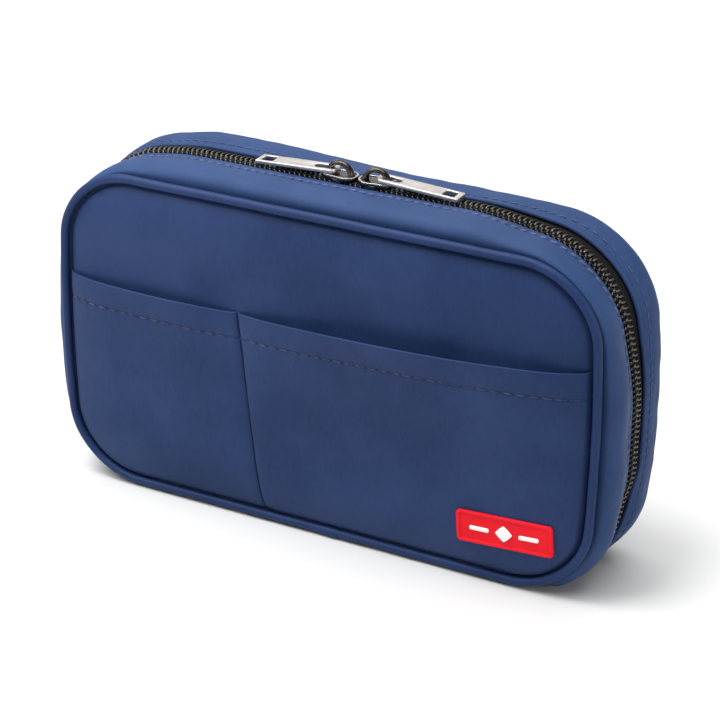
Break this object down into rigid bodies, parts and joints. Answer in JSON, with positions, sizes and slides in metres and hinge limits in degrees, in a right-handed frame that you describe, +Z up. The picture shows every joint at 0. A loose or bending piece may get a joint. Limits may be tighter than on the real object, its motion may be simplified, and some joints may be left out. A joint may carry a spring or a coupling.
{
  "type": "travel document organizer",
  "caption": "Zip-around, book-style fabric organizer that stands on its spine, with slip pockets on the front, piped covers, metal pull tabs and a hinged divider page.",
  "frame": {"origin": "centre of the spine's underside, where the case stands", "axes": "+X along the width to the right as seen from the front, front cover faces -Y, +Z up"},
  "size_m": [0.2096, 0.0539, 0.1266],
  "materials": {
    "cover_cloth": "satin navy nylon",
    "gusset_cloth": "satin navy nylon over thin foam",
    "piping_cloth": "satin navy nylon over a cord",
    "board": "plain sheet",
    "lining_cloth": "plain woven lining",
    "inner_cloth": "plain woven",
    "binding_tape": "ribbed tape",
    "elastic": "ribbed elastic",
    "zip_tape": "woven black tape",
    "zip_coil": "nylon coil",
    "slider_metal": "gunmetal plating",
    "pull_metal": "bright nickel plating",
    "label_rubber": "moulded",
    "label_ink": "moulded white"
  },
  "bodies": {
    "spine": {"spine_panel": "gusset_cloth", "spine_board": "board", "spine_lining": "lining_cloth", "divider_tape": "inner_cloth", "left_zip_tab": "inner_cloth", "right_zip_tab": "inner_cloth"},
    "front_half": {"front_panel": "cover_cloth", "front_board": "board", "front_lining": "lining_cloth", "front_piping": "piping_cloth", "front_gusset": "gusset_cloth", "front_zip_tape": "zip_tape", "front_zip_coil": "zip_coil", "left_pocket": "cover_cloth", "right_pocket": "cover_cloth", "label_patch": "label_rubber", "label_emblem": "label_ink", "front_inner_pocket": "inner_cloth", "front_inner_binding": "binding_tape"},
    "back_half": {"back_panel": "cover_cloth", "back_board": "board", "back_lining": "lining_cloth", "back_piping": "piping_cloth", "back_gusset": "gusset_cloth", "back_zip_tape": "zip_tape", "back_zip_coil": "zip_coil", "back_inner_pocket": "inner_cloth", "back_inner_binding": "binding_tape"},
    "divider": {"divider_page": "inner_cloth", "divider_binding": "binding_tape", "divider_pocket": "inner_cloth", "divider_pen_loops": "elastic"},
    "left_slider_body": {"left_slider": "slider_metal", "left_bail": "slider_metal"},
    "left_pull_tab": {"left_pull": "pull_metal"},
    "right_slider_body": {"right_slider": "slider_metal", "right_bail": "slider_metal"},
    "right_pull_tab": {"right_pull": "pull_metal"}
  },
  "joints": [
    {"name": "front_open", "type": "hinge", "parent": "spine", "child": "front_half", "pos_m": [0, -0.02, 0.0019], "axis": [1, 0, 0], "range_deg": [0, 82]},
    {"name": "back_open", "type": "hinge", "parent": "spine", "child": "back_half", "pos_m": [0, 0.02, 0.0019], "axis": [-1, 0, 0], "range_deg": [0, 86]},
    {"name": "divider_turn", "type": "hinge", "parent": "spine", "child": "divider", "pos_m": [0, 0, 0.0044], "axis": [1, 0, 0], "range_deg": [0, 33]},
    {"name": "left_zip", "type": "slide", "parent": "back_half", "child": "left_slider_body", "axis": [-1, 0, 0], "range_m": [0, 0.05]},
    {"name": "right_zip", "type": "slide", "parent": "back_half", "child": "right_slider_body", "axis": [1, 0, 0], "range_m": [0, 0.036]},
    {"name": "left_pull_turn", "type": "hinge", "parent": "left_slider_body", "child": "left_pull_tab", "pos_m": [-0.00395, 0, 0.123], "axis": [0, 1, 0], "range_deg": [0, 105]},
    {"name": "right_pull_turn", "type": "hinge", "parent": "right_slider_body", "child": "right_pull_tab", "pos_m": [0.01235, 0, 0.123], "axis": [0, -1, 0], "range_deg": [0, 105]}
  ],
  "couplings": [
    {"joint": "divider_turn", "follows": "front_open", "ratio": 0.4}
  ]
}
